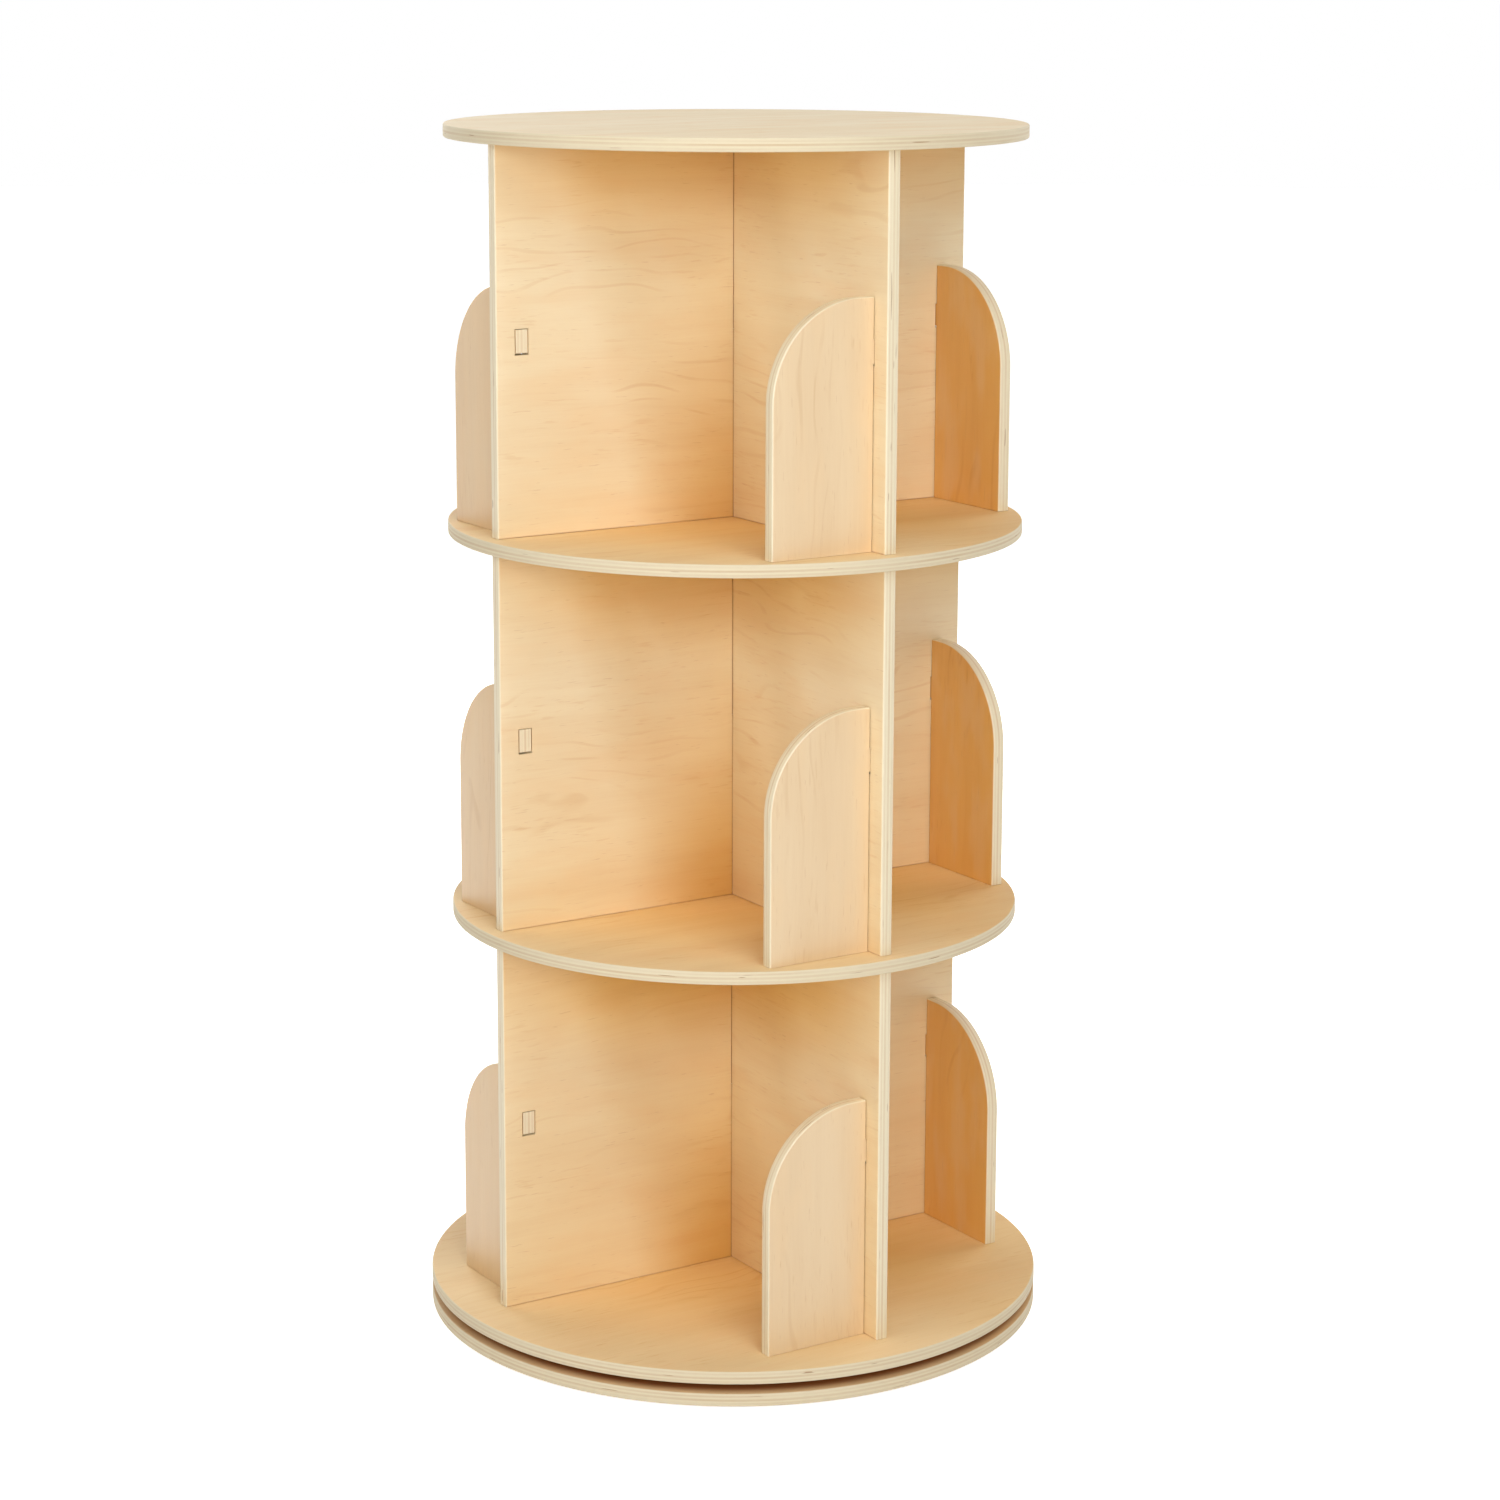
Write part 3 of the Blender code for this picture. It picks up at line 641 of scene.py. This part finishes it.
def ply_colour(finish, sheet, through, edge):
    """The edge of a sheet: every second ply is a little darker, with a void here and there."""
    layer = finish.times_plus(through, PLY_COUNT / SHEET_THICKNESS, PLY_COUNT / 2)
    turned = finish.maths("PINGPONG", finish.minus(layer, HALF_PLY), ONE_PLY)
    crossed = finish.between(turned, *PLY_TURNS)
    from_middle = finish.unsigned(through)
    mottle = finish.noise(sheet, PLY_MOTTLE)
    tone = finish.times(crossed, finish.drawn(sheet, PLY_CLOUDS))
    tone = finish.plus(tone, finish.between(from_middle, *CORE_SHADE))
    tone = finish.times_plus(finish.centred(mottle), MOTTLE_SHARE, tone)
    colour = finish.mixed(tone, edge[0], edge[1])
    inner = finish.between(from_middle, *VOID_ZONE)
    void = finish.times(finish.drawn(sheet, PLY_VOIDS), inner)
    return finish.mixed(void, colour, VOID_BROWN), mottle


def place_and_reach(finish):
    """The three parts of the point's place at rest, and its distance from the axis."""
    place = finish.place()
    return finish.parts(place), finish.length(finish.stretched(place, FLATTENED))


def panel_painted_shade(finish):
    """Painted shade on a panel: how sheltered a point is, and how near the lines where it meets
    others, along which painted lines of shade run.

    The painted shade lies close under each board, weaker at the two open ends in front, and
    low in the corner of the cross. It reaches further down in the lower tiers.
    """
    parts, from_axis = place_and_reach(finish)
    tiers = finish.times_plus(parts["Z"], 1 / TIER_PITCH, -TIER_FLOORS["lower"] / TIER_PITCH)
    height = finish.times(finish.maths("FRACT", tiers), TIER_PITCH)
    lower = finish.between(parts["Z"], *REACHES_LOWER)
    inward = finish.between(from_axis, *REACHES_INWARD)
    under_board = finish.between(finish.times_plus(lower, inward, height), *UNDER_BOARD)
    forward = finish.larger(finish.times(parts["X"], -1.0), finish.times(parts["Y"], -1.0))
    under_board = finish.times(under_board, finish.between(forward, *OPEN_END))
    on_left_right = finish.maths(
        "GREATER_THAN", finish.unsigned(parts["X"]), finish.unsigned(parts["Y"]))
    corner = finish.between(from_axis, *CORNER_FROM_AXIS)
    corner = finish.times(corner, finish.between(on_left_right, *CORNER_ON_WAYS))
    corner = finish.times(corner, finish.between(height, *CORNER_UPWARD))
    deep = finish.larger(under_board, corner)
    deep = finish.times(deep, finish.between(parts["Z"], *WEAKER_HIGH_UP))
    deep = finish.plus(deep, finish.between(parts["Z"], *LOW_TIERS))
    meeting = finish.between(from_axis, *MEETING_LINE)
    return deep, finish.larger(meeting, finish.between(height, *STANDING_LINE))


def board_painted_shade(finish):
    """Painted shade on a board: how sheltered a point is, and how deep it lies in the bearing's
    gap, where a painted line of shade runs.

    The painted shade grows toward the cross, and over the half that lies to the right at rest.
    """
    parts, from_axis = place_and_reach(finish)
    near = finish.between(from_axis, *NEAR_CROSS)
    near = finish.plus(near, finish.between(parts["X"], *RIGHT_HALF))
    from_gap = finish.unsigned(finish.minus(parts["Z"], BEARING_MIDDLE))
    facing_gap = finish.between(from_gap, *GAP_FACES)
    return near, finish.times(facing_gap, finish.between(from_axis, *GAP_INSIDE))


def divider_painted_shade(finish):
    """Painted shade: the dividers to the left and right are deeper in colour than the other
    two.
    """
    across = finish.unsigned(finish.parts(finish.place())["X"])
    return finish.between(across, *SIDE_DIVIDERS), 0.0


def maple_plywood(name, upper, lower, plies, lacquer, shade_painter=None):
    """Lacquered maple-faced plywood: a veneer on each face, and the plies at the edges."""
    finish = Finish(name)
    attribute = finish.node("ShaderNodeAttribute")
    attribute.attribute_name = "sheet"
    sheet = attribute.outputs["Vector"]
    through = finish.parts(sheet)["Z"]
    on_upper = finish.maths("GREATER_THAN", through, 0.0)
    light = finish.mixed(on_upper, lower[0], upper[0])
    dark = finish.mixed(on_upper, lower[1], upper[1])
    face_colour, fibre = veneer_colour(finish, sheet, light, dark)
    roughness = finish.between(fibre, *ROUGH_FIBRE, lacquer.smooth, lacquer.rough)
    # Painted shade: a warm tint where the wood is sheltered, and brown lines of it at the seams
    if shade_painter:
        deep, shade_line = shade_painter(finish)
        face_colour = finish.mixed(deep, face_colour, PAINTED_SHADE_TINT, "MULTIPLY")
        face_colour = finish.mixed(shade_line, face_colour, PAINTED_SEAM_SHADE)
        roughness = finish.times_plus(shade_line, SEAM_ROUGHENS, roughness)
    edge_colour, mottle = ply_colour(finish, sheet, through, plies)
    depth = finish.minus(HALF_SHEET, finish.unsigned(through))
    edge = finish.between(depth, VENEER_WORN, FACE_VENEER)
    finish.put(
        Base_Color=finish.mixed(edge, face_colour, edge_colour),
        Roughness=finish.times_plus(edge, EDGE_ROUGHENS, roughness),
        Specular_IOR_Level=lacquer.specular, Coat_Weight=lacquer.coat,
        Coat_Roughness=lacquer.smooth)
    relief = finish.times_plus(finish.times(mottle, edge), MOTTLE_RELIEF, fibre)
    finish.bump(relief, WOOD_RELIEF)
    return finish.material


def turned_aluminium():
    """Ring stock with fine turning lines round the axis."""
    finish = Finish("turned_aluminium")
    cloud = finish.clouded(ALUMINIUM_CLOUD, METAL_DETAIL)
    lines = finish.maths("SINE", finish.times(finish.length(finish.place()), TURNING_LINES))
    finish.put(
        Base_Color=finish.mixed(cloud, *ALUMINIUM), Metallic=1.0,
        Roughness=finish.between(cloud, *ALUMINIUM_ROUGHNESS))
    finish.bump(lines, TURNING_RELIEF)
    return finish.material


def bright_metal(name, dark, light, grain, roughness):
    """Polished or plated steel, clouded a little."""
    finish = Finish(name)
    cloud = finish.clouded(grain, METAL_DETAIL)
    finish.put(
        Base_Color=finish.mixed(cloud, dark, light), Metallic=1.0,
        Roughness=finish.between(cloud, *CLOUDED, *roughness))
    finish.bump(cloud, METAL_RELIEF, METAL_RELIEF_STRENGTH)
    return finish.material


def moulded(name, dark, light, grain, roughness, relief):
    """Nylon or rubber with a fine moulded skin."""
    finish = Finish(name)
    cloud = finish.clouded(MOULDED_CLOUD, SOFT_DETAIL)
    skin = finish.clouded(grain, SOFT_DETAIL)
    finish.put(
        Base_Color=finish.mixed(cloud, dark, light),
        Roughness=finish.between(skin, *CLOUDED, *roughness))
    finish.bump(skin, relief)
    return finish.material


# The bookcase

def sheet_places():
    """Turns a panel's sheet upright, and a divider's sheet to stand on the right-hand wing."""
    upright = Matrix.Rotation(QUARTER_TURN, 4, "X")
    grain_up = Matrix(((0, 1, 0, 0), (0, 0, 1, 0), (1, 0, 0, 0), (0, 0, 0, 1)))
    facing = Matrix.Rotation(-QUARTER_TURN, 4, "Z")
    to_wing = Matrix.Translation((DIVIDER_PLACE, -HALF_SHEET, 0))
    return upright, to_wing @ facing @ grain_up


def build_boards(material, top_material):
    """The five round boards, and how many pieces they are."""
    wide, narrow = round_sheet(BASE_DIAMETER), round_sheet(SHELF_DIAMETER)
    deep = HALF_SHEET + CUT_OVERRUN
    outer, inner = screw_places(OUTER_SCREW_CIRCLE), screw_places(INNER_SCREW_CIRCLE)
    base = cut(wide.copy(), holes(outer, PILOT_DIAMETER, HALF_SHEET - PILOT_DEPTH, deep))
    base = cut(base, holes(inner[:1], DRIVER_HOLE_DIAMETER, -deep, deep))
    turntable = cut(wide.copy(), holes(inner, PILOT_DIAMETER, -deep, PILOT_DEPTH - HALF_SHEET))
    turntable = cut(turntable, upper_pockets())
    shelf = cut(cut(narrow.copy(), upper_pockets()), lower_pockets())
    top = cut(narrow.copy(), lower_pockets())
    boards = (
        ("base_board", base, "base"), ("turntable_board", turntable, "carcass"),
        ("lower_shelf", shelf, "carcass"), ("upper_shelf", shelf, "carcass"),
        ("top_board", top, "carcass"))
    for serial, (node, sheet, body) in enumerate(boards):
        low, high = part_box(node)
        place = Matrix.Translation((0, 0, (low.z + high.z) / 2))
        used = top_material if node == "top_board" else material
        wooden_piece(node, sheet, place, used, body, serial)
    return len(boards)


def build_tiers(panel_material, divider_material, serial):
    """Crossed panels and dividers in each tier, numbered on from the boards."""
    upright, to_wing = sheet_places()
    panel, divider = panel_sheet(), divider_sheet()
    upside_down = Euler((math.pi, 0, QUARTER_TURN)).to_matrix().to_4x4()
    for tier, floor in TIER_FLOORS.items():
        middle = Matrix.Translation((0, 0, floor + TIER_CLEAR_HEIGHT / 2))
        for way, turn in (("left_right", Matrix()), ("front_back", upside_down)):
            wooden_piece(
                f"{tier}_panel_{way}", panel, middle @ turn @ upright, panel_material,
                "carcass", serial)
            serial += 1
        for quarters, side in enumerate(WING_SIDES):
            turn = Matrix.Rotation(quarters * QUARTER_TURN, 4, "Z")
            place = Matrix.Translation((0, 0, floor)) @ turn @ to_wing
            wooden_piece(
                f"{tier}_divider_{side}", divider, place, divider_material,
                "carcass", serial)
            serial += 1


def finish_hardware():
    """Materials for the bearing, the screws and the pads, whose solids are shown."""
    rings = turned_aluminium()
    finishes = {
        "bearing_outer_ring": rings,
        "bearing_inner_ring": rings,
        "bearing_cage": moulded("natural_nylon", *NATURAL_NYLON, NYLON_RELIEF),
        "bearing_ball": bright_metal("ball_steel", *BALL_STEEL),
        "screw": bright_metal("zinc_plate", *ZINC_PLATE),
        "foot_pad": moulded("black_rubber", *BLACK_RUBBER, RUBBER_RELIEF)}
    for node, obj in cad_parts.items():
        for key, material in finishes.items():
            if key in node:
                obj.data.materials.clear()
                obj.data.materials.append(material)


# Floor, light and camera

def floor_finish():
    """White, and to the eye brighter further from the object, so that its shadow stays."""
    finish = Finish("studio_floor")
    cloud = finish.clouded(FLOOR_CLOUD, SOFT_DETAIL)
    finish.put(Base_Color=finish.mixed(cloud, *FLOOR_WHITES), Roughness=FLOOR_ROUGHNESS)
    glow = finish.between(finish.length(finish.place()), *FLOOR_GLOW)
    light = finish.node("ShaderNodeEmission", Strength=finish.times(finish.seen(), glow))
    light.inputs["Color"].default_value = (WHITE, WHITE, WHITE, 1)
    both = finish.tree.nodes.new("ShaderNodeAddShader")
    finish.feed(both.inputs[0], finish.shader.outputs[0])
    finish.feed(both.inputs[1], light.outputs[0])
    finish.feed(finish.tree.nodes["Material Output"].inputs["Surface"], both.outputs[0])
    return finish.material


def build_floor():
    bm = bmesh.new()
    bmesh.ops.create_circle(bm, cap_ends=True, segments=FLOOR_FACETS, radius=FLOOR_RADIUS)
    mesh = to_mesh("studio_floor", bm)
    mesh.materials.append(floor_finish())
    new_object("studio_floor", mesh)


def light_world():
    """White to the eye, and a faint even light on the bookcase from all round."""
    world = bpy.data.worlds.new("studio")
    world.use_nodes = True
    bpy.context.scene.world = world
    nodes = Nodes(world.node_tree)
    background = nodes.tree.nodes["Background"]
    background.inputs["Color"].default_value = (WHITE, WHITE, WHITE, 1)
    strength = nodes.node(
        "ShaderNodeMapRange", Value=nodes.seen(), To_Min=AMBIENT, To_Max=WHITE)
    nodes.feed(background.inputs["Strength"], strength.outputs[0])


def add_softbox(name, azimuth, height, reach, width, power):
    """A square lamp aimed at the middle of the bookcase."""
    across = math.radians(azimuth)
    lamp = bpy.data.lights.new(name, "AREA")
    lamp.shape = "SQUARE"
    lamp.size = width
    lamp.energy = power
    lamp.color = DAYLIGHT
    obj = new_object(name, lamp)
    obj.location = Vector((math.sin(across) * reach, -math.cos(across) * reach, height))
    obj.rotation_mode = "QUATERNION"
    obj.rotation_quaternion = (obj.location - Vector(LAMPS_AIM)).to_track_quat("Z", "Y")


def add_camera():
    """The camera stands to the left of the front and looks a little down."""
    lens = bpy.data.cameras.new("camera")
    lens.sensor_width = CAMERA_SENSOR
    lens.lens = CAMERA_LENS
    lens.shift_x, lens.shift_y = CAMERA_SHIFT
    lens.clip_start, lens.clip_end = CAMERA_REACH
    camera = new_object("camera", lens)
    heading = Matrix.Rotation(-CAMERA_HEADING, 4, "Z")
    tilt = Matrix.Rotation(QUARTER_TURN - CAMERA_PITCH, 4, "X")
    lean = Matrix.Rotation(CAMERA_ROLL, 4, "Z")
    camera.matrix_world = Matrix.Translation(CAMERA_PLACE) @ heading @ tilt @ lean
    bpy.context.scene.camera = camera


board_count = build_boards(
    maple_plywood("maple_boards", BOARD_VENEER, BOARD_VENEER, BOARD_PLIES, MATT, board_painted_shade),
    maple_plywood("maple_top_board", TOP_VENEER_WITH_SHEEN, BOARD_VENEER, BOARD_PLIES, MATT))
build_tiers(
    maple_plywood("maple_panels", PANEL_VENEER, PANEL_VENEER, PANEL_PLIES, SATIN, panel_painted_shade),
    maple_plywood(
        "maple_dividers", DIVIDER_OUTSIDE, DIVIDER_INSIDE_PAINTED_SHADE, PANEL_PLIES, SATIN, divider_painted_shade),
    board_count)
finish_hardware()
build_floor()
light_world()
for lamp_name, lamp_values in SOFTBOXES.items():
    add_softbox(lamp_name, *lamp_values)
add_camera()
bpy.context.scene.view_settings.view_transform = "Standard"
